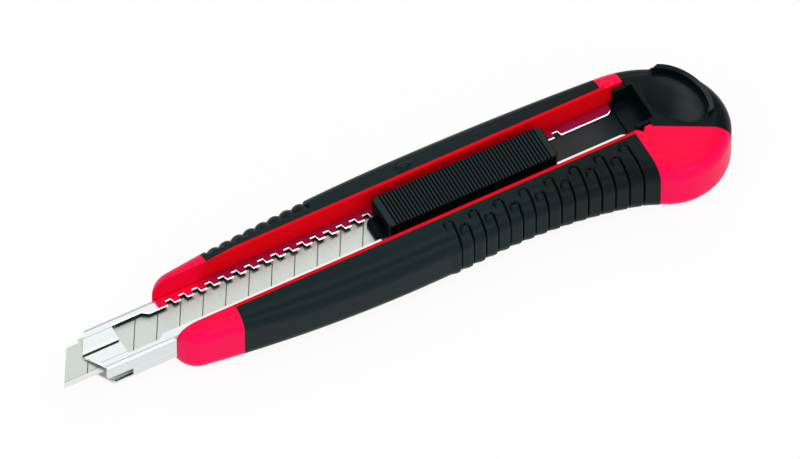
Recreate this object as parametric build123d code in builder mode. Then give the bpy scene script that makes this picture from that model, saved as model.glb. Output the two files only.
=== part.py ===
from build123d import *
from math import asin, cos, degrees, radians, sin, tan
import os

# Snap-off utility knife with a spare-blade magazine, in millimetres.
# X runs along the knife, from the blade tip at -X to the end cap at +X.
# Z is up, out of the flat back that the knife lies on, and -Y is the side of the cutting edge.
# The origin lies on the back, on the blade's centre line.

# Handle outline, seen from above: a chain of arcs from the nose round the near side and back
handle_front = -55.2
nose_radius = 5.2
nose_near = 9.0
nose_far = 8.7
belly_x = -6.0
belly_near = 12.55
belly_turn = 3.3
waist_radius = 100.0
waist_turn = 14.0
flare_radius = 22.0
flare_turn = 16.0
heel_radius = 12.6
crest_radius = 14.6
crest_turn = 50.0
shoulder_radius = 24.0
shoulder_turn = 36.5
crown_x = 1.5

# Handle section
handle_thickness = 13.4
edge_round = 3.7
trough_half_top = 5.8
land_width = 0.65
grip_skin = 1.8

# Soft grips and their ribs
grip_front = -42.8
near_grip_rear = 45.0
far_grip_rear = 44.1
rib_pitch = 5.5
rib_first_x = 3.6
rib_count = 8
rib_groove = 0.55
rib_depth = 0.6
rib_hook = 1.8
rib_low = 1.6
long_rib_start = 7.7
short_rib_start = 9.9
thumb_rib_pitch = 2.75
thumb_rib_groove = 1.2
thumb_rib_first_x = -41.2
thumb_rib_count = 8
thumb_rib_start = 7.4
nub_x = 1.6
nub_y = 7.9
nub_length = 3.2
nub_width = 2.2
nub_height = 0.35

# Folded blade rail
rail_width = 10.5
rail_height = 6.4
rail_sheet = 0.5
rail_top = 9.4
rail_bend = 0.7
rail_fit = 0.05
nose_apex = -72.8
nose_angle = 30.0
floor_setback = 1.4
flap_rear = -64.7
flap_crease = 3.3
flap_drop = 0.6
flap_slit = 0.6
side_slot_low = 1.1
side_slot_high = 3.0
side_slot_rear = -64.5
rail_rear = 45.0
lip_inner = 2.8
lip_front_inner = 3.7
lip_jog_front = -58.0
lip_jog = 1.2
lip_end_round = 1.5

# Lock notches in the far lip
notch_pitch = 2.873
notch_first_x = -52.2
notch_count = 27
notch_depth = 1.05
notch_floor = 1.2
notch_slope = 0.35
parking_notch_x = 32.7

# Snap-off blade
blade_length = 80.0
blade_width = 9.0
blade_thickness = 0.4
blade_top = 8.2
segment_length = 5.0
segment_count = 13
snap_angle = 30.0
snap_depth = 0.12
snap_width = 0.2
bevel_width = 1.1
corner_notch_length = 2.5
corner_notch_depth = 0.85
blade_hole_radius = 1.3
blade_hole_inset = 5.5
stud_x = -4.65
spare_tip = -67.5
stack_gap = 0.05

# Magazine spring under the spare blades
leaf_thickness = 0.35
leaf_width = 5.0
leaf_front = -46.0
leaf_rear = 2.0

# Blade carrier
carrier_front = -9.8
carrier_rear = 7.2
carrier_half = 2.65
carrier_top = 9.65
carrier_nose = 0.9
carrier_corner = 1.2
runner_gap = 0.5
stud_clearance = 0.1
running_gap = 0.15
key_front = 2.2
key_length = 4.8
key_neck_half = 1.7
key_head_half = 2.7
key_neck_height = 1.0
key_head_height = 0.9
key_clearance = 0.15

# Thumb slide
slide_front = -7.8
slide_length = 37.2
slide_width = 8.06
slide_low = 9.7
slide_top = 13.7
slide_edge = 0.35
slide_corner = 0.9
slide_rib_pitch = 0.72
slide_rib_groove = 0.36
slide_rib_depth = 0.35
slide_pad = 1.3
release_travel = 1.2

# Lock spring: a bent strip whose tooth sits in a notch
tooth_notch = 18
tooth_half = 0.25
tooth_gap = 0.2
strip = 0.25
strip_height = 0.5
strip_low = 8.95
spring_front = -6.6
spring_hold = 1.4
spring_seat = 0.9
spring_root = 1.55
spring_lead = 0.9
spring_slack = 0.05
peg_radius = 0.3
peg_height = 0.9
release_draw = 1.15

# End cap
cap_front = 48.7
cap_gap = 0.12
cap_corner_y = 6.4
cap_diagonal = 29.0
pocket_half = 4.45
pocket_rear = 49.9
arm_front = 46.0
arm_clearance = 0.15
arm_drop = 0.3
land_notch_x = 46.4
land_notch_width = 1.2
land_notch_depth = 0.9
spigot_gap = 0.3
tongue_front = 27.8
tongue_thickness = 1.0
dome_x = 55.6
dome_y = -2.6
dome_long = 15.2
dome_short = 9.2
dome_turn = 18.0
dome_height = 0.9
dome_root = 0.6
ridge_gap = 0.4
ridge_width = 1.0
ridge_height = 1.1
ridge_root = 3.0

# Values that follow from those above
rail_half = rail_width / 2
rail_low = rail_top - rail_height
rail_middle = rail_top - rail_height / 2
rail_floor = rail_low + rail_sheet
rail_inside_half = rail_half - rail_sheet
lip_low = rail_top - rail_sheet
blade_half = blade_width / 2
blade_low = blade_top - blade_thickness
blade_slant = tan(radians(snap_angle))
nose_slant = tan(radians(nose_angle))
blade_rear = stud_x + blade_hole_inset
blade_tip = blade_rear - blade_length
blade_step = blade_thickness + stack_gap
trough_half_low = rail_half + rail_fit
trough_low = rail_low - rail_fit
grip_inner = trough_half_top + land_width
carrier_low = blade_top + stack_gap
key_low = carrier_top + key_neck_height
key_top = key_low + key_head_height
tooth_x = notch_first_x + tooth_notch * notch_pitch
tooth_tip = lip_inner + notch_depth - tooth_gap
strip_top = strip_low + strip_height
peg_x = tooth_x + tooth_half
peg_top = strip_top + peg_height
slide_rear = slide_front + slide_length
slide_half = slide_width / 2
slide_middle = (slide_front + slide_rear) / 2
slide_rib_count = int((slide_length - 2 * slide_pad) / slide_rib_pitch)
spigot_front = rail_rear + spigot_gap
spigot_top = rail_top - stack_gap
belly_reach = belly_x - handle_front - nose_radius
crown_reach = crown_x - handle_front - nose_radius
rear_lean = 90 - crest_turn - shoulder_turn
reach = 2 * abs(handle_front)
margin = 1.0

os.makedirs("parts", exist_ok=True)


def side_arc(along, bulge):
    """Radius and lean of the arc that runs from a nose corner to the widest point of a side."""
    rise = bulge + nose_radius
    radius = (along**2 + rise**2 - nose_radius**2) / (2 * bulge)
    return radius, degrees(asin(along / (radius - nose_radius)))


def chord_radius(chord, rise):
    """Radius of the arc that rises so far over its chord."""
    return (chord**2 / 4 + rise**2) / (2 * rise)


def handle_form(inset):
    """The whole outer form of the handle and cap, its skin set in by the inset."""
    with BuildPart() as form:
        with BuildSketch(Plane.XY.offset(inset)):
            with BuildLine():
                nose = Line((handle_front, nose_far - nose_radius), (handle_front, nose_radius - nose_near))
                belly_radius, near_lean = side_arc(belly_reach, belly_near - nose_near)
                near_corner = JernArc(nose @ 1, nose % 1, nose_radius, 90 - near_lean)
                belly = JernArc(near_corner @ 1, near_corner % 1, belly_radius, near_lean + belly_turn)
                waist = JernArc(belly @ 1, belly % 1, waist_radius, -belly_turn - waist_turn)
                flare = JernArc(waist @ 1, waist % 1, flare_radius, -flare_turn)
                heel = JernArc(flare @ 1, flare % 1, heel_radius, waist_turn + flare_turn + 90)
                crest = JernArc(heel @ 1, heel % 1, crest_radius, crest_turn)
                shoulder = JernArc(crest @ 1, crest % 1, shoulder_radius, shoulder_turn)
                back_radius = ((shoulder @ 1).X - crown_x) / sin(radians(rear_lean))
                back = JernArc(shoulder @ 1, shoulder % 1, back_radius, rear_lean)
                crown_radius, far_lean = side_arc(crown_reach, (back @ 1).Y - nose_far)
                crown = JernArc(back @ 1, back % 1, crown_radius, far_lean)
                JernArc(crown @ 1, crown % 1, nose_radius, 90 - far_lean)
            make_face()
            if inset:
                offset(amount=-inset)
        extrude(amount=handle_thickness - 2 * inset)
        fillet(form.faces().sort_by(Axis.Z)[-1].edges(), edge_round - inset)
        fillet(form.faces().sort_by(Axis.Z)[0].edges(), edge_round - inset)
    return form.part


def box_between(low, high, mode=Mode.ADD):
    """A plain block between two opposite corners, for the piece being built."""
    size = [b - a for a, b in zip(low, high)]
    middle = [(a + b) / 2 for a, b in zip(low, high)]
    with Locations(tuple(middle)):
        Box(*size, mode=mode)


def cap_zone(gap):
    """All that lies behind the seam between handle and end cap, moved back by the gap."""
    seam = cap_front + gap
    corner = (seam, -cap_corner_y)
    end = (reach, -cap_corner_y - (reach - seam) * tan(radians(cap_diagonal)))
    with BuildPart() as zone:
        with BuildSketch(Plane.XY.offset(-margin)):
            with BuildLine():
                Polyline(corner, end, (reach, reach), (seam, reach), close=True)
            make_face()
        extrude(amount=handle_thickness + 2 * margin)
    return zone.part


def grip_blank(side, rear):
    """One soft skin, on the near (-1) or far (+1) side of the handle, before its ribs are cut."""
    sides = sorted((side * grip_inner, side * reach))
    with BuildPart() as blank:
        add(outer_form)
        box_between(
            (grip_front, sides[0], -margin),
            (rear, sides[1], handle_thickness + margin),
            Mode.INTERSECT,
        )
        add(core_form, mode=Mode.SUBTRACT)
    return blank.part


def snap_blade(tip_x, top):
    """A segmented blade, its cutting edge towards -Y and its score lines on the upper face."""
    low = top - blade_thickness
    edge_z = (top + low) / 2
    slanted_end = tip_x + blade_width * blade_slant
    with BuildPart() as blade:
        with BuildSketch(Plane.YZ.offset(tip_x)):
            with BuildLine():
                Polyline(
                    (-blade_half, edge_z),
                    (bevel_width - blade_half, low),
                    (blade_half, low),
                    (blade_half, top),
                    (bevel_width - blade_half, top),
                    close=True,
                )
            make_face()
        extrude(amount=blade_length)
        with BuildSketch(Plane.XY.offset(low - margin)):
            with BuildLine():
                Polyline(
                    (tip_x - margin * blade_slant, -blade_half - margin),
                    (slanted_end + margin * blade_slant, blade_half + margin),
                    (tip_x - blade_width, blade_half + margin),
                    (tip_x - blade_width, -blade_half - margin),
                    close=True,
                )
            make_face()
            with Locations((slanted_end, blade_half)):
                Rectangle(2 * corner_notch_length, 2 * corner_notch_depth)
            with Locations((tip_x + blade_length - blade_hole_inset, 0)):
                Circle(blade_hole_radius)
        extrude(amount=blade_thickness + 2 * margin, mode=Mode.SUBTRACT)
        with BuildSketch(Plane.XY.offset(top - snap_depth)):
            for segment in range(1, segment_count + 1):
                middle = tip_x + segment * segment_length + blade_half * blade_slant
                with Locations((middle, 0)):
                    Rectangle(snap_width, 2 * blade_width, rotation=-snap_angle)
        extrude(amount=margin, mode=Mode.SUBTRACT)
    return blade.part


outer_form = handle_form(0)
core_form = handle_form(grip_skin)
rib_floor = handle_form(rib_depth)
near_blank = grip_blank(-1, near_grip_rear)
far_blank = grip_blank(1, far_grip_rear)

# Finger ribs: hooked grooves, long and short in turn
with BuildPart() as finger_grooves:
    with BuildSketch(Plane.XY.offset(rib_low)):
        for index in range(2 * rib_count - 1):
            x = rib_first_x + index * rib_pitch / 2
            start = short_rib_start if index % 2 else long_rib_start
            with BuildLine():
                hook = ThreePointArc(
                    (x - rib_hook, -start - rib_hook / 2),
                    (x - rib_hook / 2, -start),
                    (x, -start - rib_hook / 2),
                )
                Line(hook @ 1, (x, -2 * belly_near))
            trace(line_width=rib_groove)
    extrude(amount=handle_thickness)
    add(rib_floor, mode=Mode.SUBTRACT)

with BuildPart() as lower_grip:
    add(near_blank)
    add(finger_grooves.part, mode=Mode.SUBTRACT)

# Thumb ribs: straight grooves across the far edge near the nose
with BuildPart() as thumb_grooves:
    with BuildSketch(Plane.XY.offset(rib_low)):
        for index in range(thumb_rib_count + 1):
            x = thumb_rib_first_x + index * thumb_rib_pitch
            with Locations((x, thumb_rib_start + belly_near / 2)):
                Rectangle(thumb_rib_groove, belly_near)
    extrude(amount=handle_thickness)
    add(rib_floor, mode=Mode.SUBTRACT)

with BuildPart() as upper_grip:
    add(far_blank)
    add(thumb_grooves.part, mode=Mode.SUBTRACT)
    with BuildSketch(Plane.XY.offset(handle_thickness - rib_depth)):
        with Locations((nub_x, nub_y)):
            Ellipse(nub_length / 2, nub_width / 2)
    extrude(amount=rib_depth + nub_height)

with BuildPart() as body_shell:
    add(outer_form)
    with BuildSketch(Plane.YZ.offset(handle_front - margin)):
        with BuildLine():
            Polyline(
                (-trough_half_low, trough_low),
                (trough_half_low, trough_low),
                (trough_half_low, rail_top),
                (trough_half_top, handle_thickness),
                (trough_half_top, handle_thickness + margin),
                (-trough_half_top, handle_thickness + margin),
                (-trough_half_top, handle_thickness),
                (-trough_half_low, rail_top),
                close=True,
            )
        make_face()
    extrude(amount=reach, mode=Mode.SUBTRACT)
    add(near_blank, mode=Mode.SUBTRACT)
    add(far_blank, mode=Mode.SUBTRACT)
    add(cap_zone(0), mode=Mode.SUBTRACT)
    with BuildSketch(Plane.XY.offset(rail_top + margin)):
        with Locations((land_notch_x, -trough_half_top)):
            Rectangle(land_notch_width, 2 * land_notch_depth, rotation=45)
    extrude(amount=handle_thickness, mode=Mode.SUBTRACT)

with BuildPart() as blade_rail:
    with BuildSketch(Plane.YZ.offset(nose_apex)):
        with Locations((0, rail_middle)):
            RectangleRounded(rail_width, rail_height, rail_bend)
            Rectangle(rail_width - 2 * rail_sheet, rail_height - 2 * rail_sheet, mode=Mode.SUBTRACT)
    extrude(amount=rail_rear - nose_apex)
    # Opening between the lips, wider behind the flaps, with lock notches in the far lip
    with BuildSketch(Plane.XY.offset(lip_low - stack_gap)):
        with BuildLine():
            Polyline(
                (flap_rear, -lip_front_inner),
                (lip_jog_front, -lip_front_inner),
                (lip_jog_front + lip_jog, -lip_inner),
                (rail_rear + margin, -lip_inner),
                (rail_rear + margin, lip_inner),
                (lip_jog_front + lip_jog, lip_inner),
                (lip_jog_front, lip_front_inner),
                (flap_rear, lip_front_inner),
                close=True,
            )
        make_face()
        notch_places = [notch_first_x + index * notch_pitch for index in range(notch_count)]
        for x in notch_places + [parking_notch_x]:
            with BuildLine():
                Polyline(
                    (x - notch_floor / 2, lip_inner - margin),
                    (x - notch_floor / 2, lip_inner + notch_depth),
                    (x + notch_floor / 2, lip_inner + notch_depth),
                    (x + notch_floor / 2 + notch_slope, lip_inner),
                    (x + notch_floor / 2 + notch_slope, lip_inner - margin),
                    close=True,
                )
            make_face()
        with Locations(((nose_apex + flap_rear) / 2, 0)):
            Rectangle(flap_rear - nose_apex, 2 * flap_crease)
    extrude(amount=rail_sheet + margin, mode=Mode.SUBTRACT)
    # Flaps bent down towards the slit over the blade
    with BuildSketch(Plane.YZ.offset(nose_apex)):
        for side in (-1, 1):
            with BuildLine():
                Polyline(
                    (side * flap_crease, rail_top),
                    (side * flap_slit / 2, rail_top - flap_drop),
                    (side * flap_slit / 2, lip_low - flap_drop),
                    (side * flap_crease, lip_low),
                    close=True,
                )
            make_face()
    extrude(amount=flap_rear - nose_apex)
    # Arrow-shaped nose, its floor set back
    for setback, height in ((0, rail_height + margin), (floor_setback, side_slot_low)):
        apex = nose_apex + setback
        corner = apex + rail_width * nose_slant
        with BuildSketch(Plane.XY.offset(rail_low)):
            with BuildLine():
                Polyline(
                    (apex, 0),
                    (corner, rail_width),
                    (nose_apex - margin, rail_width),
                    (nose_apex - margin, -rail_width),
                    (corner, -rail_width),
                    close=True,
                )
            make_face()
        extrude(amount=height, mode=Mode.SUBTRACT)
    # Slots in both side walls, open at the nose
    with BuildSketch(Plane.XZ.offset(-rail_width)):
        with BuildLine():
            Polyline(
                (nose_apex - margin, rail_low + side_slot_low),
                (side_slot_rear, rail_low + side_slot_low),
                (side_slot_rear, rail_low + side_slot_high),
                (nose_apex - margin, rail_low + side_slot_high),
                close=True,
            )
        make_face()
    extrude(amount=2 * rail_width, mode=Mode.SUBTRACT)
    lip_ends = blade_rail.edges().filter_by(Axis.Z).group_by(Axis.X)[-1]
    fillet(lip_ends.filter_by(lambda edge: edge.length < 1.5 * rail_sheet), lip_end_round)

blade = snap_blade(blade_tip, blade_top)
spare_blade_upper = snap_blade(spare_tip, blade_top - blade_step)
spare_blade_lower = snap_blade(spare_tip, blade_top - 2 * blade_step)

# Bowed leaf that presses the spare blades up
with BuildPart() as magazine_spring:
    crest = blade_low - 2 * blade_step - stack_gap - leaf_thickness / 2
    foot = rail_floor + leaf_thickness / 2
    with BuildSketch(Plane.XZ):
        with BuildLine():
            ThreePointArc((leaf_front, foot), ((leaf_front + leaf_rear) / 2, crest), (leaf_rear, foot))
        trace(line_width=leaf_thickness)
    extrude(amount=leaf_width / 2, both=True)

with BuildPart() as blade_carrier:
    box_between((carrier_front, -carrier_half, carrier_low), (carrier_rear, carrier_half, carrier_top))
    fillet(blade_carrier.edges().filter_by(Axis.Z).group_by(Axis.X)[0], carrier_corner)
    front_edges = blade_carrier.faces().sort_by(Axis.Z)[-1].edges()
    fillet(front_edges.sort_by(Axis.X)[:3], carrier_nose)
    runner_half = rail_inside_half - running_gap
    box_between(
        (blade_rear + runner_gap, -runner_half, blade_low),
        (carrier_rear, runner_half, lip_low - stack_gap),
    )
    with BuildSketch(Plane.XY.offset(blade_low)):
        with Locations((stud_x, 0)):
            Circle(blade_hole_radius - stud_clearance)
    extrude(amount=carrier_top - blade_low - carrier_nose)
    key_rear = key_front + key_length
    box_between((key_front, -key_neck_half, carrier_low), (key_rear, key_neck_half, key_low))
    box_between((key_front, -key_head_half, key_low), (key_rear, key_head_half, key_top))
    # Seat for the front of the lock spring, and room for its tooth to draw in
    seat_half = strip / 2 + spring_slack
    spring_free = spring_front + spring_hold
    box_between(
        (spring_front - seat_half, spring_seat - seat_half, strip_low - spring_slack),
        (spring_free, spring_seat + seat_half, key_top),
        Mode.SUBTRACT,
    )
    box_between(
        (spring_free, spring_root - release_draw - 2 * peg_radius, strip_low - spring_slack),
        (peg_x + 2 * peg_radius, carrier_half + margin, key_top),
        Mode.SUBTRACT,
    )

with BuildPart() as lock_spring:
    bends = [
        (spring_front, spring_seat),
        (spring_free, spring_seat),
        (tooth_x - tooth_half - spring_lead, spring_root),
        (tooth_x - tooth_half, tooth_tip - strip / 2),
        (tooth_x + tooth_half, tooth_tip - strip / 2),
        (peg_x, spring_root),
    ]
    with BuildSketch(Plane.XY.offset(strip_low)):
        with BuildLine():
            Polyline(bends)
        trace(line_width=strip)
        with Locations(bends):
            Circle(strip / 2)
    extrude(amount=strip_height)
    with BuildSketch(Plane.XY.offset(strip_low)):
        with Locations((peg_x, spring_root)):
            Circle(peg_radius)
    extrude(amount=strip_height + peg_height)

with BuildPart() as thumb_slide:
    box_between((slide_front, -slide_half, slide_low), (slide_rear, slide_half, slide_top))
    fillet(thumb_slide.edges().filter_by(Axis.Z), slide_corner)
    chamfer(thumb_slide.faces().sort_by(Axis.Z)[-1].edges(), slide_edge)
    with BuildSketch(Plane.XY.offset(slide_top - slide_rib_depth)):
        with Locations((slide_middle, 0)):
            with GridLocations(slide_rib_pitch, 1, slide_rib_count, 1):
                Rectangle(slide_rib_groove, slide_width + margin)
    extrude(amount=margin, mode=Mode.SUBTRACT)
    # Tee slot for the carrier's key, longer than the key by the release travel
    slot_front = key_front - key_clearance
    slot_rear = key_rear + release_travel + key_clearance
    neck_half = key_neck_half + key_clearance
    head_half = key_head_half + key_clearance
    head_low = key_low - key_clearance
    box_between((slot_front, -neck_half, slide_low), (slot_rear, neck_half, key_low), Mode.SUBTRACT)
    box_between(
        (slot_front, -head_half, head_low),
        (slot_rear, head_half, key_top + key_clearance),
        Mode.SUBTRACT,
    )
    # Slanted cam groove that draws the spring's tooth out of its notch
    cam_ends = [(peg_x, spring_root), (peg_x + release_travel, spring_root - release_draw)]
    with BuildSketch(Plane.XY.offset(slide_low)):
        with BuildLine():
            Line(*cam_ends)
        trace(line_width=2 * (peg_radius + key_clearance))
        with Locations(cam_ends):
            Circle(peg_radius + key_clearance)
    extrude(amount=peg_top + key_clearance - slide_low, mode=Mode.SUBTRACT)

# Top slice of a barrel, which stands out of the cap as a low oval pillow
barrel_radius = chord_radius(dome_short, dome_height)
barrel_reach = dome_long / 2 + margin
bow_radius = chord_radius(dome_long, dome_height)
bow_drop = bow_radius - (bow_radius**2 - barrel_reach**2) ** 0.5
with BuildPart() as thumb_dome:
    with BuildSketch(Plane.YZ):
        with BuildLine():
            bow = ThreePointArc(
                (-barrel_reach, barrel_radius - bow_drop),
                (0, barrel_radius),
                (barrel_reach, barrel_radius - bow_drop),
            )
            Polyline(bow @ 1, (barrel_reach, 0), (-barrel_reach, 0), bow @ 0)
        make_face()
    revolve(axis=Axis.Y)
    slice_low = barrel_radius - dome_height - dome_root
    box_between((-dome_long, -dome_long, slice_low), (dome_long, dome_long, 2 * barrel_radius), Mode.INTERSECT)

with BuildPart() as end_cap:
    add(outer_form)
    dome_low = handle_thickness + dome_height - barrel_radius
    add(thumb_dome.part.moved(Location((dome_x, dome_y, dome_low), (0, 0, dome_turn))))
    add(cap_zone(cap_gap), mode=Mode.INTERSECT)
    # Arched ridge behind the thumb oval
    ridge_short = dome_short / 2 + ridge_gap
    ridge_long = dome_long / 2 + ridge_gap
    with BuildSketch(Plane.XY.offset(handle_thickness - ridge_root)):
        with Locations((dome_x, dome_y)):
            Ellipse(ridge_short + ridge_width, ridge_long + ridge_width, rotation=dome_turn)
            Ellipse(ridge_short, ridge_long, rotation=dome_turn, mode=Mode.SUBTRACT)
            with Locations((dome_short * cos(radians(dome_turn)), dome_short * sin(radians(dome_turn)))):
                Rectangle(2 * dome_short, dome_long, rotation=dome_turn, mode=Mode.INTERSECT)
    extrude(amount=ridge_root + ridge_height)
    # Spigot behind the rail, side arms along the trough, pocket for the slide and tongue under the lips
    spigot_half = trough_half_low - arm_clearance
    box_between((spigot_front, -spigot_half, rail_low), (cap_front + margin, spigot_half, spigot_top))
    for side in (-1, 1):
        sides = sorted((side * pocket_half, side * spigot_half))
        box_between(
            (arm_front, sides[0], spigot_top - margin),
            (cap_front + margin, sides[1], handle_thickness - arm_drop),
        )
    box_between(
        (cap_front - margin, -pocket_half, spigot_top),
        (pocket_rear, pocket_half, handle_thickness + margin),
        Mode.SUBTRACT,
    )
    tongue_half = rail_inside_half - running_gap
    tongue_top = lip_low - stack_gap
    box_between(
        (tongue_front, -tongue_half, tongue_top - tongue_thickness),
        (spigot_front + margin, tongue_half, tongue_top),
    )

pieces = {
    "body_shell": body_shell.part,
    "lower_grip": lower_grip.part,
    "upper_grip": upper_grip.part,
    "blade_rail": blade_rail.part,
    "magazine_spring": magazine_spring.part,
    "spare_blade_upper": spare_blade_upper,
    "spare_blade_lower": spare_blade_lower,
    "blade": blade,
    "blade_carrier": blade_carrier.part,
    "lock_spring": lock_spring.part,
    "thumb_slide": thumb_slide.part,
    "end_cap": end_cap.part,
}
for name, piece in pieces.items():
    piece.label = name
    export_step(piece, f"parts/{name}.step")
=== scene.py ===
from math import cos, pi, radians, sin, sqrt

import bmesh
import bpy
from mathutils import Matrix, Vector


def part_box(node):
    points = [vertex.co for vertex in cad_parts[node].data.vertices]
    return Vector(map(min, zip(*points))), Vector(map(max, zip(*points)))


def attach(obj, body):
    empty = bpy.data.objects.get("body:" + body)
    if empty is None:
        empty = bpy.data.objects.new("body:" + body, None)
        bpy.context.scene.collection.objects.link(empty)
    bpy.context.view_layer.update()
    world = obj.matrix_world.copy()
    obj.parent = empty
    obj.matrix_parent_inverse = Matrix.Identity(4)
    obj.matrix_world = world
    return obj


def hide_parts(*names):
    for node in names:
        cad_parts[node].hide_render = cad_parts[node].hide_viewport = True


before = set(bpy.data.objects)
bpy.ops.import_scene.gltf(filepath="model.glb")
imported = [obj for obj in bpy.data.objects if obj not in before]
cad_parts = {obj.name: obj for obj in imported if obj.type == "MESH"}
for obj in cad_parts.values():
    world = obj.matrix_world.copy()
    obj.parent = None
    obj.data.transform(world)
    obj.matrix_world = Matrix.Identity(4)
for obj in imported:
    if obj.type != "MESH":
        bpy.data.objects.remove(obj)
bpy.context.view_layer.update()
mm = 0.001  # the knife is written in millimetres, Blender's own sizes are in metres
print("frame loaded:", len(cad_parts), "nodes")


def corners(node):  # a node's lowest and highest corner, in millimetres
    return [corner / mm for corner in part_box(node)]


class Wire:  # one socket of a tree, so that sums can be written as Python
    def __init__(self, owner, socket):
        self.owner = owner
        self.socket = socket

    def math(self, operation, *terms):
        return self.owner.add("ShaderNodeMath", {"operation": operation}, dict(enumerate(terms)))[0]

    def __add__(self, other):
        return self.math("ADD", self, other)

    def __radd__(self, other):
        return self.math("ADD", other, self)

    def __sub__(self, other):
        return self.math("SUBTRACT", self, other)

    def __rsub__(self, other):
        return self.math("SUBTRACT", other, self)

    def __mul__(self, other):
        return self.math("MULTIPLY", self, other)

    def __rmul__(self, other):
        return self.math("MULTIPLY", other, self)

    def __truediv__(self, other):
        return self.math("DIVIDE", self, other)

    def __rtruediv__(self, other):
        return self.math("DIVIDE", other, self)

    def __pow__(self, other):
        return self.math("POWER", self, other)

    def __rpow__(self, other):
        return self.math("POWER", other, self)

    def __gt__(self, other):
        return self.math("GREATER_THAN", self, other)

    def __lt__(self, other):
        return self.math("LESS_THAN", self, other)

    def __neg__(self):
        return self.math("MULTIPLY", self, -1)

    def __abs__(self):
        return self.math("ABSOLUTE", self)

    def floor(self):
        return self.math("FLOOR", self)

    def sine(self):
        return self.math("SINE", self)

    def exp(self):
        return self.math("EXPONENT", self)


class Nodes:  # a tree that is written node by node, for a finish or for a shape
    def __init__(self, tree):
        self.tree = tree

    def add(self, kind, settings=None, values=None):  # gives the node's outputs as wires
        node = self.tree.nodes.new(kind)
        for key, value in (settings or {}).items():
            setattr(node, key, value)
        for key, value in (values or {}).items():
            self.join(node.inputs[key], value)
        return [Wire(self, output) for output in node.outputs]

    def join(self, socket, value):
        if isinstance(value, Wire):
            self.tree.links.new(value.socket, socket)
        else:
            socket.default_value = value

    def ease(self, value, low, high):  # 0 up to low, 1 from high on, smooth between
        settings = {"interpolation_type": "SMOOTHSTEP"}
        return self.add("ShaderNodeMapRange", settings, {0: value, 1: low, 2: high})[0]

    def fade(self, value, low, high):  # the other way round, from 1 to 0
        return 1 - self.ease(value, low, high)

    def bell(self, value, width):  # 1 where value is 0, next to nothing two widths away
        share = value / width
        return (-share * share).exp()

    def split(self, vector):  # metres to three wires in millimetres
        grown = self.add("ShaderNodeVectorMath", {"operation": "SCALE"}, {0: vector, "Scale": 1 / mm})[0]
        return self.add("ShaderNodeSeparateXYZ", None, {0: grown})


class Paint(Nodes):  # a material with one principled shader
    def __init__(self, name):
        self.material = bpy.data.materials.new(name)
        self.material.use_nodes = True
        super().__init__(self.material.node_tree)
        self.shader = self.tree.nodes["Principled BSDF"]

    def set(self, **values):  # shader sockets by name, with _ for a space
        for key, value in values.items():
            self.join(self.shader.inputs[key.replace("_", " ")], value)

    def place(self):
        return self.add("ShaderNodeTexCoord")[3]  # object coordinates

    def spot(self):
        return self.split(self.place())

    def upright(self, steep, level):  # 1 on walls, 0 on faces that look up or down
        normal = self.add("ShaderNodeNewGeometry")[1]
        up = abs(self.add("ShaderNodeSeparateXYZ", None, {0: normal})[2])
        return self.fade(up, steep, level)

    def line(self, value, half, core=0.3):  # a thin soft line along the places where value is 0
        return self.fade(abs(value), core * half, half)

    def noise(self, scale, detail=2.0, rough=0.5, stretch=(1, 1, 1)):
        place = self.add("ShaderNodeMapping", None, {"Vector": self.place(), "Scale": stretch})[0]
        values = {"Vector": place, "Scale": scale, "Detail": detail, "Roughness": rough}
        return self.add("ShaderNodeTexNoise", None, values)[0]

    def mix(self, factor, first, second):  # two colours
        return self.add("ShaderNodeMix", {"data_type": "RGBA"}, {0: factor, 6: first, 7: second})[2]

    def lean(self, factor, normal, way):  # turns a normal towards a fixed way
        return self.add("ShaderNodeMix", {"data_type": "VECTOR"}, {0: factor, 4: normal, 5: way})[1]

    def bump(self, height, strength, distance=0.2 * mm):
        values = {"Height": height, "Strength": strength, "Distance": distance}
        return self.add("ShaderNodeBump", None, values)[0]


redLook = {
    "outer": (0.94, 0.0015, 0.046, 1),
    "cloudy": (0.97, 0.0025, 0.064, 1),
    "side": (0.97, 0.0015, 0.086, 1),  # on the walls: painted light, the same red made more magenta than on the tops
    "steep": 0.6,
    "level": 0.9,
    "trough": (0.80, 0.001, 0.008, 1),  # painted shade inside the slide's track
    "trackLow": 9.0,
    "troughHalf": 5.9,
    "landHalf": 6.5,  # the narrow lands beside the track, as far as the grips reach, which take that painted shade too
    "landOver": 0.2,
    "mouthLight": (0.98, 0.001, 0.036, 1),  # painted light at the track's open end, ahead of the grips, where less shade falls
    "mouthAhead": 3.0,
    "mouthBehind": 1.0,
    "cloud": {"scale": 90, "detail": 3},
    "peel": {"scale": 1400, "detail": 2},
    "peelBump": 0.06,
    "rough": 0.30,
    "cloudRough": 0.1,
    "troughRough": 0.45,
    "gloss": 0.06,
}


def makeRedShell():
    paint = Paint("redShell")
    x, y, z = paint.spot()
    gripLow, gripHigh = corners("lower_grip")
    landFront = gripLow.x - redLook["landOver"]
    cloud = paint.noise(**redLook["cloud"])
    peel = paint.noise(**redLook["peel"])
    upright = paint.upright(redLook["steep"], redLook["level"])
    moulded = paint.mix(cloud, redLook["outer"], redLook["cloudy"])
    # painted light: the walls take the more magenta red
    outer = paint.mix(upright, moulded, redLook["side"])
    # painted shade on the lands and walls inside the track, lighter towards its open end
    land = (abs(y) < redLook["landHalf"]) * (x > landFront) * (x < gripHigh.x)
    wall = (abs(y) < redLook["troughHalf"]) * upright
    inside = (z > redLook["trackLow"]) * (land + (1 - land) * wall)
    deep = paint.ease(x, landFront - redLook["mouthAhead"], landFront + redLook["mouthBehind"])
    track = paint.mix(deep, redLook["mouthLight"], redLook["trough"])
    paint.set(
        Base_Color=paint.mix(inside, outer, track),
        Roughness=redLook["rough"] + redLook["cloudRough"] * cloud + redLook["troughRough"] * inside,
        Specular_IOR_Level=redLook["gloss"],
        Normal=paint.bump(peel, redLook["peelBump"]),
    )
    return paint.material


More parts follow.
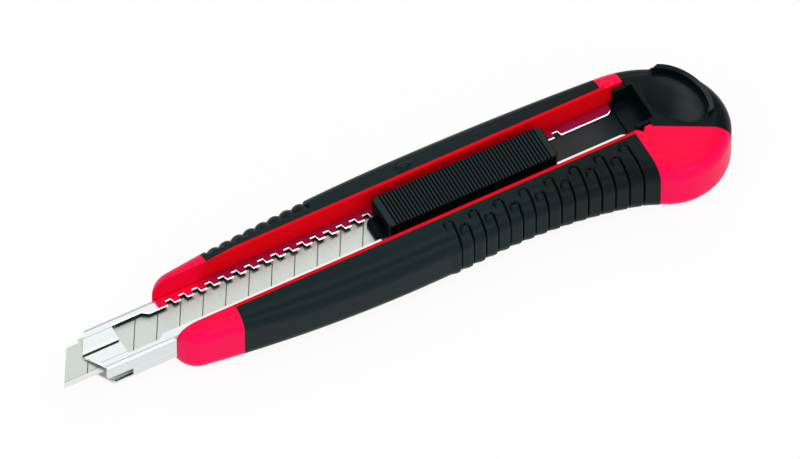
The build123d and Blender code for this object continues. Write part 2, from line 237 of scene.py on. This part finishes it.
skinLook = {
    "dark": (0.0010, 0.0095, 0.0112, 1),
    "pale": (0.0018, 0.0125, 0.0145, 1),
    "rearShade": (0.0016, 0.0056, 0.0068, 1),  # painted shade towards the end in the palm, where the light falls off, with a thinner coat there
    "rearShadeFrom": 4.0,
    "rearShadeTo": 40.0,
    # painted shade in the rib creases and valleys, which also lose most of their coat
    "crease": (0.0006, 0.001, 0.001, 1),
    "creaseDull": 0.9,
    "cloud": {"scale": 60, "detail": 4},
    "grain": {"scale": 5200, "detail": 3, "rough": 0.6},
    "grainBump": 0.1,
    "rough": 0.34,
    "grainRough": 0.12,
    "cloudRough": 0.06,
    "gloss": 0.04,
    "sheen": 0.18,
    "rearSheen": 0.15,
}


def makeGripSkin():
    paint = Paint("gripSkin")
    cloud = paint.noise(**skinLook["cloud"])
    grain = paint.noise(**skinLook["grain"])
    # the "crease" attribute tells where the painted crease shade goes
    crease = paint.add("ShaderNodeAttribute", {"attribute_name": "crease"})[2]
    # painted shade: darker and less glossy towards the end in the palm
    rearShade = paint.ease(paint.spot()[0], skinLook["rearShadeFrom"], skinLook["rearShadeTo"])
    skin = paint.mix(rearShade, paint.mix(cloud, skinLook["dark"], skinLook["pale"]), skinLook["rearShade"])
    sheen = skinLook["sheen"] + (skinLook["rearSheen"] - skinLook["sheen"]) * rearShade
    paint.set(
        Base_Color=paint.mix(crease, skin, skinLook["crease"]),
        Roughness=skinLook["rough"] + skinLook["grainRough"] * grain + skinLook["cloudRough"] * cloud,
        Specular_IOR_Level=skinLook["gloss"],
        Coat_Weight=sheen * (1 - skinLook["creaseDull"] * crease),
        Coat_Roughness=skinLook["rough"],
        Normal=paint.bump(grain, skinLook["grainBump"]),
    )
    return paint.material


blackLook = {
    "dark": (0.0014, 0.0052, 0.0062, 1),
    "pale": (0.0026, 0.0076, 0.0088, 1),
    "cloud": {"scale": 80, "detail": 3},
    "grain": {"scale": 3600, "detail": 2},
    "grainBump": 0.07,
    "rough": 0.26,
    "grainRough": 0.14,
    "gloss": 0.03,
    "sheen": 0.10,
    "domeSheen": 0.42,  # painted sheen: a stronger coat that grows over the cap's dome, to the end and the near side, where its highlight falls
    "domeX": 55.6,
    "domeY": -2.6,
    "domeFrom": -2.0,
    "domeTo": 6.0,
    "domeLow": 0.05,  # over the flat of the cap
    "domeFull": 0.25,
    "tongueSheen": 0.42,  # painted sheen: a stronger coat on the thin tongue behind the slide, so it reads lighter
    "tongueFront": 28.0,
    "tongueFade": 38.0,
    "tongueRear": 46.0,
    "tongueTop": 9.6,
}


def makeBlackPlastic():
    paint = Paint("blackPlastic")
    x, y, z = paint.spot()
    cloud = paint.noise(**blackLook["cloud"])
    grain = paint.noise(**blackLook["grain"])
    capFlat = corners("body_shell")[1].z
    outward = (x - blackLook["domeX"]) - (y - blackLook["domeY"])
    raised = paint.ease(z, capFlat + blackLook["domeLow"], capFlat + blackLook["domeFull"])
    dome = raised * paint.ease(outward, blackLook["domeFrom"], blackLook["domeTo"])
    ahead = paint.fade(x, blackLook["tongueFade"], blackLook["tongueRear"])
    tongue = (x > blackLook["tongueFront"]) * ahead * (z < blackLook["tongueTop"])
    paint.set(
        Base_Color=paint.mix(cloud, blackLook["dark"], blackLook["pale"]),
        Roughness=blackLook["rough"] + blackLook["grainRough"] * grain,
        Specular_IOR_Level=blackLook["gloss"],
        Coat_Weight=blackLook["sheen"] + blackLook["domeSheen"] * dome + blackLook["tongueSheen"] * tongue,
        Coat_Roughness=blackLook["rough"],
        Normal=paint.bump(grain, blackLook["grainBump"]),
    )
    return paint.material


slideLook = {
    # painted light and shade on one plastic: lighter rib tops, near-black grooves
    "rib": (0.0180, 0.0300, 0.0330, 1),
    "groove": (0.0008, 0.0014, 0.0017, 1),
    "grooveShadeStart": 0.1,  # how far under the rib tops the painted groove shade begins, and where it is full
    "grooveShadeFull": 0.3,
    "grain": {"scale": 4200, "detail": 2},
    "grainBump": 0.07,
    "rough": 0.34,
    "grainRough": 0.14,
    "gloss": 0.03,
}


def makeSlidePlastic():
    paint = Paint("slidePlastic")
    top = corners("thumb_slide")[1].z
    grain = paint.noise(**slideLook["grain"])
    raised = paint.ease(paint.spot()[2], top - slideLook["grooveShadeFull"], top - slideLook["grooveShadeStart"])
    paint.set(
        Base_Color=paint.mix(raised, slideLook["groove"], slideLook["rib"]),
        Roughness=slideLook["rough"] + slideLook["grainRough"] * grain,
        Specular_IOR_Level=slideLook["gloss"],
        Normal=paint.bump(grain, slideLook["grainBump"]),
    )
    return paint.material


railLook = {
    "bright": (0.78, 0.812, 0.815, 1),
    "worn": (0.63, 0.675, 0.69, 1),
    "streak": {"scale": 700, "detail": 4, "rough": 0.6, "stretch": (0.03, 1, 1)},
    "streakBump": 0.02,
    "cloud": {"scale": 45, "detail": 3},
    "sheet": 0.5,  # thickness of the folded metal
    "slack": 0.02,
    "steep": 0.3,
    "level": 0.6,
    "foldShade": (0.30, 0.33, 0.33, 1),  # painted shade: dark lines along the bends and the creased flaps
    "pressHalf": 0.13,
    "pressDrop": 0.7,  # down to the flaps, which lie under the lips
    "bendY": 4.62,
    "creaseY": 3.3,
    "creaseTone": 0.6,
    "creaseEnd": -64.7,
    "dark": (0.016, 0.017, 0.018, 1),  # painted shade inside, under the lips, and on the faces of the slit between the flaps
    "floorSkin": 0.1,
    "open": (0.90, 0.92, 0.92, 1),  # painted light inside the open nose
    "openEnd": -64.0,
    "openFade": -62.5,
    "openPlain": 0.8,  # how much less metallic
    "slitHalf": 0.36,
    "cut": (0.95, 0.96, 0.96, 1),  # bare rolled edge of the lips and their notches
    "cutReach": 3.95,
    "cutLow": 0.14,
    "notchFloor": 3.6,
    "notchLow": 0.12,
    "rolled": (0.0, -0.5, 0.866),  # the way that edge is turned, fixed to face the front lamps: a painted glint on the bare steel of the edge
    "lip": (0.34, 0.006, 0.045, 1),  # painted reflection of the red wall, on the far lip under it, which is made less metallic
    "lipMouthReflection": (0.92, 0.002, 0.05, 1),  # the same painted reflection at the nose, where that wall is brighter
    "mouthEnd": -48.0,
    "mouthFade": -41.0,
    "lipFront": -55.0,
    "lipFade": -54.6,
    "lipInner": 2.0,
    "lipSkin": 0.2,
    "lipPlain": 0.6,
    "bend": 0.75,
    "rough": 0.03,
    "streakRough": 0.05,
    "hollowRough": 0.4,
    "cutRough": 0.2,
    "lipRough": 0.4,
    "bendRough": 0.3,
    "gloss": 0.1,
}


def makeRailSteel():
    paint = Paint("railSteel")
    x, y, z = paint.spot()
    low, high = corners("blade_rail")
    lipLow = high.z - railLook["sheet"]
    wallIn = high.y - railLook["sheet"]
    streak = paint.noise(**railLook["streak"])
    cloud = paint.noise(**railLook["cloud"])
    upright = paint.upright(railLook["steep"], railLook["level"])
    topside = (1 - upright) * (z > lipLow - railLook["pressDrop"])
    bend = (abs(y) > high.y - railLook["bend"]) * (z > high.z - railLook["bend"])

    between = (abs(y) < wallIn + railLook["slack"]) * (z > low.z + railLook["floorSkin"])
    hollow = between * (z < lipLow + railLook["slack"])
    nose = hollow * paint.fade(x, railLook["openEnd"], railLook["openFade"])
    slit = upright * (abs(y) < railLook["slitHalf"])

    bends = paint.line(abs(y) - railLook["bendY"], railLook["pressHalf"])
    creases = paint.line(abs(y) - railLook["creaseY"], railLook["pressHalf"]) * (x < railLook["creaseEnd"])
    foldShade = topside * (bends + railLook["creaseTone"] * creases)

    farSide = topside * (z > lipLow + railLook["lipSkin"]) * (y > railLook["lipInner"])
    lip = farSide * paint.ease(x, railLook["lipFront"], railLook["lipFade"])
    deep = paint.ease(x, railLook["mouthEnd"], railLook["mouthFade"])

    burr = lipLow + railLook["cutLow"] + railLook["notchLow"] * (abs(y) > railLook["notchFloor"])
    cut = upright * (abs(y) < railLook["cutReach"]) * (z > burr)

    rolledSheet = paint.mix(cloud * streak, railLook["bright"], railLook["worn"])
    foldShaded = paint.mix(foldShade, rolledSheet, railLook["foldShade"])
    # painted reflection: the far lip takes the red of the wall above it
    redReflected = paint.mix(lip, foldShaded, paint.mix(deep, railLook["lipMouthReflection"], railLook["lip"]))
    # painted light: the hollow turns pale in the open nose
    openLitSheet = paint.mix(nose, redReflected, railLook["open"])
    # painted shade over the hollow under the lips and the slit
    shaded = paint.mix(hollow - nose + slit, openLitSheet, railLook["dark"])
    rough = railLook["rough"] + railLook["streakRough"] * streak + railLook["bendRough"] * bend
    masked = railLook["hollowRough"] * hollow + railLook["cutRough"] * cut + railLook["lipRough"] * lip
    paint.set(
        Base_Color=paint.mix(cut, shaded, railLook["cut"]),
        Metallic=1 - railLook["openPlain"] * nose - railLook["lipPlain"] * lip,
        Roughness=rough + masked,
        Specular_IOR_Level=railLook["gloss"],
        Normal=paint.lean(cut, paint.bump(streak, railLook["streakBump"]), railLook["rolled"]),
    )
    return paint.material


bladeLook = {
    "base": (0.57, 0.615, 0.575, 1),
    "dark": (0.45, 0.49, 0.455, 1),
    "grind": {"scale": 4200, "detail": 4, "rough": 0.6, "stretch": (1, 0.04, 1)},
    "grindTone": 0.6,
    "grindBump": 0.03,
    "grindDepth": 0.1,
    "cloud": {"scale": 70, "detail": 3},
    "cloudTone": 0.25,
    "score": (0.13, 0.135, 0.13, 1),
    "scoreTop": 0.04,  # under the blade's top face
    "scoreLow": 0.14,
    "scorePlain": 0.6,  # how much less metallic
    "bevel": (0.66, 0.70, 0.67, 1),
    "bevelWidth": 1.1,
    "bevelSoft": 0.04,
    "heel": (0.30, 0.32, 0.30, 1),  # the line where the bevel meets the flat
    "heelHalf": 0.12,
    "heelTone": 0.7,
    "rough": 0.24,
    "grindRough": 0.16,
    "scoreRough": 0.3,
}


def makeBladeSteel(node):
    paint = Paint("bladeSteel_" + node)
    _, y, z = paint.spot()
    low, high = corners(node)
    grind = paint.noise(**bladeLook["grind"])
    cloud = paint.noise(**bladeLook["cloud"])
    heel = low.y + bladeLook["bevelWidth"]
    flat = paint.ease(y, heel - bladeLook["bevelSoft"], heel + bladeLook["bevelSoft"])
    score = flat * (z < high.z - bladeLook["scoreTop"]) * (z > high.z - bladeLook["scoreLow"])
    tone = bladeLook["grindTone"] * grind + bladeLook["cloudTone"] * cloud
    ground = paint.mix(flat, bladeLook["bevel"], paint.mix(tone, bladeLook["base"], bladeLook["dark"]))
    heelLine = bladeLook["heelTone"] * paint.line(y - heel, bladeLook["heelHalf"])
    honed = paint.mix(heelLine, ground, bladeLook["heel"])
    paint.set(
        Base_Color=paint.mix(score, honed, bladeLook["score"]),
        Metallic=1 - bladeLook["scorePlain"] * score,
        Roughness=bladeLook["rough"] + bladeLook["grindRough"] * grind + bladeLook["scoreRough"] * score,
        Normal=paint.bump(grind, bladeLook["grindBump"], bladeLook["grindDepth"] * mm),
    )
    return paint.material


springLook = {
    "base": (0.45, 0.45, 0.44, 1),
    "blue": (0.36, 0.37, 0.40, 1),
    "cloud": {"scale": 260, "detail": 3},
    "rough": 0.3,
    "cloudRough": 0.1,
}


def makeSpringSteel():
    paint = Paint("springSteel")
    cloud = paint.noise(**springLook["cloud"])
    paint.set(
        Base_Color=paint.mix(cloud, springLook["base"], springLook["blue"]),
        Metallic=1.0,
        Roughness=springLook["rough"] + springLook["cloudRough"] * cloud,
    )
    return paint.material


gripSkin = makeGripSkin()
blackPlastic = makeBlackPlastic()
springSteel = makeSpringSteel()
finishes = {
    "body_shell": makeRedShell(),
    "lower_grip": gripSkin,
    "upper_grip": gripSkin,
    "blade_rail": makeRailSteel(),
    "magazine_spring": springSteel,
    "blade_carrier": blackPlastic,
    "lock_spring": springSteel,
    "thumb_slide": makeSlidePlastic(),
    "end_cap": blackPlastic,
}
for node in ("blade", "spare_blade_upper", "spare_blade_lower"):
    finishes[node] = makeBladeSteel(node)
for node, finish in finishes.items():
    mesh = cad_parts[node].data
    mesh.materials.clear()
    mesh.materials.append(finish)
print("finishes on", len(finishes), "nodes")


class Growth(Nodes):  # a tree that lifts a skin along its normals, its sizes as named inputs
    def __init__(self, name, sizes):
        super().__init__(bpy.data.node_groups.new(name, "GeometryNodeTree"))
        panel = self.tree.interface
        panel.new_socket("skin", in_out="INPUT", socket_type="NodeSocketGeometry")
        panel.new_socket("finish", in_out="INPUT", socket_type="NodeSocketMaterial")
        for title in sizes:
            panel.new_socket(title, in_out="INPUT", socket_type="NodeSocketFloat")
        panel.new_socket("skin", in_out="OUTPUT", socket_type="NodeSocketGeometry")
        self.size = {wire.socket.name: wire for wire in self.add("NodeGroupInput")}
        self.x, _, self.z = self.split(self.add("GeometryNodeInputPosition")[0])
        named = self.add("GeometryNodeInputNamedAttribute", {"data_type": "FLOAT"}, {"Name": "around"})
        self.around = named[0]  # from the centre line, measured over the skin

    def close(self, lift, crease):
        normal = self.add("GeometryNodeInputNormal")[0]
        shift = self.add("ShaderNodeVectorMath", {"operation": "SCALE"}, {0: normal, "Scale": lift * mm})[0]
        values = {"Geometry": self.size["skin"], "Offset": shift}
        moved = self.add("GeometryNodeSetPosition", None, values)[0]
        # the crease value is kept as an attribute, where the skin paints shade
        settings = {"data_type": "FLOAT", "domain": "POINT"}
        values = {"Geometry": moved, "Name": "crease", "Value": crease}
        marked = self.add("GeometryNodeStoreNamedAttribute", settings, values)[0]
        whole = self.add("GeometryNodeRealizeInstances", None, {0: marked})[0]
        done = self.add("GeometryNodeSetMaterial", None, {0: whole, "Material": self.size["finish"]})[0]
        self.add("NodeGroupOutput", None, {0: done})


def grow(piece, growth, sizes, finish):  # run the tree once and keep its result as a plain mesh
    modifier = piece.modifiers.new("growth", "NODES")
    modifier.node_group = growth.tree
    values = dict(sizes, finish=finish)
    for item in growth.tree.interface.items_tree:
        if item.in_out == "INPUT" and item.name in values:
            modifier[item.identifier] = values[item.name]
    bpy.context.view_layer.update()
    graph = bpy.context.evaluated_depsgraph_get()
    grown = bpy.data.meshes.new_from_object(piece.evaluated_get(graph))
    piece.modifiers.remove(modifier)
    piece.data = grown


fingerRibs = {  # in millimetres
    "first": 3.6,
    "pitch": 5.5,
    "count": 8.0,  # of the long ones, with a short one in each gap
    "longStart": 7.6,  # from the centre line, over the skin
    "shortStart": 9.6,
    "lead": 0.66,  # share of a rib's pitch that lies ahead of its long crease
    "hook": 0.9,
    "leg": 1.1,  # length over which the front leg of a hook fades
    "legDepth": 0.75,
    "blunt": 0.8,  # depth at the front of a hook's bow
    "bluntEnd": 0.54,
    "crease": 0.15,
    "depth": 0.42,
    "height": 0.26,
    "heightEnd": 0.05,
    "swellFrom": 2.43,  # ahead of the crease
    "swellFull": 0.72,
    "swellEnd": 0.36,
    "swellReach": 4.05,
    "lowest": 0.5,
    "lowestFull": 1.25,
}


def makeFingerRibs():
    growth = Growth("fingerRibs", fingerRibs)
    size = growth.size
    hook = size["hook"]
    tired = growth.ease(growth.x, size["first"], size["first"] + size["pitch"] * size["count"])
    height = size["height"] + (size["heightEnd"] - size["height"]) * tired
    lift = 0.0
    lines = 0.0
    for shift, start in ((0.0, size["longStart"]), (0.5, size["shortStart"])):
        along = growth.x - size["first"] - shift * size["pitch"]
        turn = (along / size["pitch"] + size["lead"]).floor()
        live = (turn > -0.5) * (turn + 2 * shift < size["count"] - 0.5)
        local = along - turn * size["pitch"]  # behind the rib's long crease
        below = growth.around - start  # down from the top of its hook
        straight = below > hook
        bow = ((local + hook) ** 2 + (below - hook) ** 2) ** 0.5 - hook
        blunt = size["blunt"] + (1 - size["blunt"]) * growth.ease(local, -2 * hook, -size["bluntEnd"])
        leg = size["legDepth"] * growth.fade(below, hook, hook + size["leg"])
        legs = growth.bell(local, size["crease"]) + leg * growth.bell(local + 2 * hook, size["crease"])
        crease = straight * legs + (1 - straight) * blunt * growth.bell(bow, size["crease"])
        swell = growth.ease(local, -size["swellFrom"], -size["swellFull"])
        swell = swell * growth.fade(local, -size["swellEnd"], 0.0)
        rise = swell * growth.ease(below, 0.0, size["swellReach"])
        lift = lift + live * (height * rise - size["depth"] * crease)
        lines = lines + live * crease
    shown = growth.ease(growth.z, size["lowest"], size["lowestFull"])
    growth.close(lift * shown, lines * shown)
    return growth


thumbRibs = {  # in millimetres
    "first": -41.2,
    "pitch": 2.75,
    "count": 8.0,
    "fade": 0.5,  # before the first and after the last
    "start": 7.5,
    "startFull": 8.3,
    "recess": 0.62,
    "blunt": 0.7,  # power of the sine, less for broader ribs
    "lowest": 0.8,
    "lowestFull": 1.6,
    "nubX": 1.6,
    "nubY": 7.9,
    "nubHalf": 1.75,
    "nubSlim": 1.0,
    "nubHeight": 0.5,
    "nubTop": 0.45,  # from here on, shares of its oval
    "nubFoot": 1.05,
    "nubGroove": 0.16,
    "grooveAt": 1.15,
    "grooveWidth": 0.16,
}


def makeThumbRibs():
    growth = Growth("thumbRibs", thumbRibs)
    size = growth.size
    along = growth.x - size["first"]
    end = size["pitch"] * size["count"]
    wave = abs((pi * along / size["pitch"]).sine()) ** size["blunt"]
    zone = growth.ease(along, -size["fade"], 0.0) * growth.fade(along, end, end + size["fade"])
    across = growth.ease(growth.around, size["start"], size["startFull"])
    shown = zone * across * growth.ease(growth.z, size["lowest"], size["lowestFull"])
    ribs = shown * size["recess"] * (wave - 1)
    long = (growth.x - size["nubX"]) / size["nubHalf"]
    slim = (growth.around - size["nubY"]) / size["nubSlim"]
    oval = (long**2 + slim**2) ** 0.5
    ahead = growth.fade(growth.x, size["nubX"] - size["nubHalf"], size["nubX"])
    groove = ahead * size["nubGroove"] * growth.bell(oval - size["grooveAt"], size["grooveWidth"])
    nub = size["nubHeight"] * growth.fade(oval, size["nubTop"], size["nubFoot"]) - groove
    # the second value marks the rib valleys for painted shade
    growth.close(ribs + nub * (growth.z > size["lowest"]), shown * (1 - wave) ** 2)
    return growth


gripForm = {  # in millimetres, on the outline of the frame
    "thick": corners("body_shell")[1].z,
    "round": 3.7,
    "shoulder": 5.0,  # rounder over the near grip, and back to round at its ends
    "blend": 7.0,
    "flatLeast": 0.1,
    "inner": 6.45,
    "skin": 1.8,
    "innerCounts": (2, 5, 2),
    "sharp": 50.0,  # degrees between faces, past which an edge stays sharp
    "bellyX": -6.0,
    "belly": 12.55,
    "bellyRadius": 279.65,
    "bellyTurn": 3.3,
    "waistRadius": 100.0,
    "waistTurn": 17.3,
    "flareRadius": 22.0,
    "flareTurn": 16.0,
    "crownX": 1.5,
    "crown": corners("upper_grip")[1].y,
    "crownRadius": 431.2,
    "backRadius": 719.9,
}


def nearHalf(x):  # half width on the cutting side: belly, waist and flare are three arcs in a row
    place, half, lean = gripForm["bellyX"], gripForm["belly"], 0.0
    chain = (
        (gripForm["bellyRadius"], gripForm["bellyTurn"]),
        (-gripForm["waistRadius"], gripForm["waistTurn"]),
        (-gripForm["flareRadius"], gripForm["flareTurn"]),
    )
    for radius, turn in chain:
        side = 1 if radius > 0 else -1
        middle = place - radius * sin(lean)
        centre = half - radius * cos(lean)
        lean += side * radians(turn)
        place = middle + radius * sin(lean)
        half = centre + radius * cos(lean)
        if x <= place:
            break
    return centre + side * sqrt(radius**2 - (x - middle) ** 2)


def farHalf(x):
    radius = gripForm["crownRadius"] if x < gripForm["crownX"] else gripForm["backRadius"]
    return gripForm["crown"] - radius + sqrt(radius**2 - (x - gripForm["crownX"]) ** 2)


# y, z and the way over the skin, from the inner top edge round the side to the inner bottom edge
def skinSection(half, shoulder, inset, counts):
    flat, bend, side = counts
    thick, foot, inner = gripForm["thick"], gripForm["round"], gripForm["inner"]
    topEnd, footEnd = half - shoulder, half - foot  # where the flats end
    sideTop = thick - shoulder
    sideStart = topEnd + shoulder * pi / 2
    points = []
    for i in range(flat):
        y = inner + (topEnd - inner) * i / flat
        points.append((y, thick - inset, y))
    for i in range(bend):
        angle = pi / 2 * i / bend
        radius = shoulder - inset
        reach = topEnd + shoulder * angle
        points.append((topEnd + radius * sin(angle), sideTop + radius * cos(angle), reach))
    for i in range(side):
        drop = (sideTop - foot) * i / side
        points.append((half - inset, sideTop - drop, sideStart + drop))
    for i in range(bend):
        angle = pi / 2 * i / bend
        radius = foot - inset
        reach = sideStart + sideTop - foot + foot * angle
        points.append((footEnd + radius * cos(angle), foot - radius * sin(angle), reach))
    for i in range(flat + 1):
        y = footEnd + (inner - footEnd) * i / flat
        points.append((y, inset, 2 * half))  # on the back, past every rib
    return points


def softShoulder(x, half, stations):  # grows from the corner of the shell to the rounder one, and back
    share = min(x - stations[0], stations[-1] - x, gripForm["blend"]) / gripForm["blend"]
    share = share * share * (3 - 2 * share)
    widest = half - gripForm["inner"] - gripForm["flatLeast"]
    room = max(min(gripForm["shoulder"], widest) - gripForm["round"], 0.0)
    return gripForm["round"] + room * share


def evenShoulder(x, half, stations):
    return gripForm["round"]


def makeGrip(name, side, halfAt, shoulderAt, stations, counts):
    ringed = bmesh.new()
    around = ringed.verts.layers.float.new("around")
    rings = []
    for x in stations:
        half = halfAt(x)
        outer = skinSection(half, shoulderAt(x, half, stations), 0.0, counts)
        inner = skinSection(half, gripForm["round"], gripForm["skin"], gripForm["innerCounts"])
        ring = []
        for y, z, reach in outer + inner[::-1]:
            vert = ringed.verts.new((x * mm, side * y * mm, z * mm))
            vert[around] = reach
            ring.append(vert)
        rings.append(ring)
    for first, second in zip(rings, rings[1:]):
        for i in range(len(first)):
            ringed.faces.new((first[i - 1], first[i], second[i], second[i - 1]))
    ringed.faces.new(rings[0])
    ringed.faces.new(rings[-1])
    bmesh.ops.recalc_face_normals(ringed, faces=ringed.faces)
    mesh = bpy.data.meshes.new(name)
    ringed.to_mesh(mesh)
    ringed.free()
    grip = bpy.data.objects.new(name, mesh)
    bpy.context.scene.collection.objects.link(grip)
    return grip


def spaced(end, *stretches):  # places up to end, from the start and spacing of each stretch
    starts = [start for start, gap in stretches]
    places = []
    for (start, gap), stop in zip(stretches, starts[1:] + [end]):
        count = round((stop - start) / gap)
        places += [start + (stop - start) * i / count for i in range(count)]
    return places + [end]


def finishGrip(grip, node, growth, sizes):
    grow(grip, growth, sizes, gripSkin)
    grip.data.shade_smooth()
    grip.data.set_sharp_from_angle(angle=radians(gripForm["sharp"]))
    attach(grip, "handle")
    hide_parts(node)
    print(node, "grown:", len(grip.data.polygons), "faces")


fingerMesh = {  # rings along the knife, fine where the ribs are: start and spacing in millimetres
    "frontGap": 0.7,
    "ribs": (0.4, 0.11),
    "rear": (44.2, 0.4),
    "counts": (10, 20, 12),  # faces on each flat, in each bend and on the side
}
low, high = corners("lower_grip")
nearStations = spaced(high.x, (low.x, fingerMesh["frontGap"]), fingerMesh["ribs"], fingerMesh["rear"])
fingerGrip = makeGrip("fingerGrip", -1, nearHalf, softShoulder, nearStations, fingerMesh["counts"])
finishGrip(fingerGrip, "lower_grip", makeFingerRibs(), fingerRibs)

thumbMesh = {
    "ribsGap": 0.13,
    "plain": (-18.0, 0.8),
    "nub": (-0.8, 0.14),
    "rear": (4.6, 0.8),
    "counts": (22, 16, 10),
}
low, high = corners("upper_grip")
farStretches = ((low.x, thumbMesh["ribsGap"]), thumbMesh["plain"], thumbMesh["nub"], thumbMesh["rear"])
farStations = spaced(high.x, *farStretches)
thumbGrip = makeGrip("thumbGrip", 1, farHalf, evenShoulder, farStations, thumbMesh["counts"])
finishGrip(thumbGrip, "upper_grip", makeThumbRibs(), thumbRibs)

studio = {  # in metres
    "floor": (0.88, 0.88, 0.88, 1),
    "floorHalf": 12.0,
    "floorDrop": 0.0004,  # under the flat back
    "floorRough": 0.9,
    "glow": 0.92,  # share of plain white in what is seen of the floor, the rest is lit and shaded
    "world": 0.42,  # light from all round
    "boxAway": 1.0,
    "boxes": {  # direction, width, height, brightness
        "backBox": ((0.278, 0.638, 0.718), 0.9, 0.70, 0.74),
        "topBox": ((0.278, 0.044, 0.960), 0.9, 0.60, 0.74),
        "sideBox": ((-0.52, -0.10, 0.85), 0.6, 0.8, 1.5),
        "frontStrip": ((0.25, -0.45, 0.857), 0.9, 0.24, 2.6),
        "frontFill": ((0.15, -0.90, 0.30), 0.8, 0.3, 2.6),
        "leftBox": ((-0.80, -0.40, 0.45), 0.5, 0.5, 1.3),
        "rearStrip": ((0.52, 0.71, 0.47), 0.3, 0.5, 1.6),
    },
}


def makeFloor():
    half = studio["floorHalf"]
    mesh = bpy.data.meshes.new("floor")
    square = [(-half, -half, 0), (half, -half, 0), (half, half, 0), (-half, half, 0)]
    mesh.from_pydata(square, [], [(0, 1, 2, 3)])
    floor = bpy.data.objects.new("floor", mesh)
    floor.location.z = -studio["floorDrop"]
    bpy.context.scene.collection.objects.link(floor)
    paint = Paint("paleFloor")
    paint.set(Base_Color=studio["floor"], Roughness=studio["floorRough"])
    ray = paint.add("ShaderNodeLightPath")  # 0 is a camera ray, 3 a glossy one
    seen = paint.add("ShaderNodeMath", {"operation": "MAXIMUM"}, {0: ray[0], 1: ray[3]})[0]
    lit = Wire(paint, paint.shader.outputs[0])
    white = paint.add("ShaderNodeEmission", None, {"Color": (1, 1, 1, 1), "Strength": 1.0})[0]
    mixed = paint.add("ShaderNodeMixShader", None, {0: seen * studio["glow"], 1: lit, 2: white})[0]
    paint.join(paint.tree.nodes["Material Output"].inputs[0], mixed)
    mesh.materials.append(paint.material)


def makeWorld():
    world = bpy.data.worlds.new("studio")
    world.use_nodes = True
    sky = Nodes(world.node_tree)
    back = world.node_tree.nodes["Background"]
    seen = sky.add("ShaderNodeLightPath")[0]
    sky.join(back.inputs["Color"], (1, 1, 1, 1))
    sky.join(back.inputs["Strength"], studio["world"] + (1 - studio["world"]) * seen)
    bpy.context.scene.world = world


def makeBox(name, direction, width, height, bright):
    data = bpy.data.lights.new(name, "AREA")
    data.shape = "RECTANGLE"
    data.size = width
    data.size_y = height
    data.energy = bright * pi * width * height
    lamp = bpy.data.objects.new(name, data)
    lamp.location = Vector(direction).normalized() * studio["boxAway"]
    lamp.rotation_euler = lamp.location.to_track_quat("Z", "Y").to_euler()
    bpy.context.scene.collection.objects.link(lamp)


scene = bpy.context.scene
scene.view_settings.view_transform = "Standard"
makeFloor()
makeWorld()
for name, box in studio["boxes"].items():
    makeBox(name, *box)
print("studio lit by", len(studio["boxes"]), "boxes")

view = {  # degrees and metres
    "azimuth": -28.2,
    "elevation": 54.0,
    "aim": (-0.00388, -0.00085, 0.0067),
    "away": 3.5,
    "wide": 0.15495,  # across the picture, at the aim
    "sensor": 36.0,
    "farClip": 50.0,
}
camera = bpy.data.cameras.new("camera")
camera.sensor_width = view["sensor"]
camera.lens = view["sensor"] * view["away"] / view["wide"]
camera.clip_end = view["farClip"]
eye = bpy.data.objects.new("camera", camera)
azimuth, elevation = radians(view["azimuth"]), radians(view["elevation"])
towards = Vector((sin(azimuth) * cos(elevation), -cos(azimuth) * cos(elevation), sin(elevation)))
eye.location = Vector(view["aim"]) + view["away"] * towards
eye.rotation_euler = towards.to_track_quat("Z", "Y").to_euler()
scene.collection.objects.link(eye)
scene.camera = eye
print("camera set")
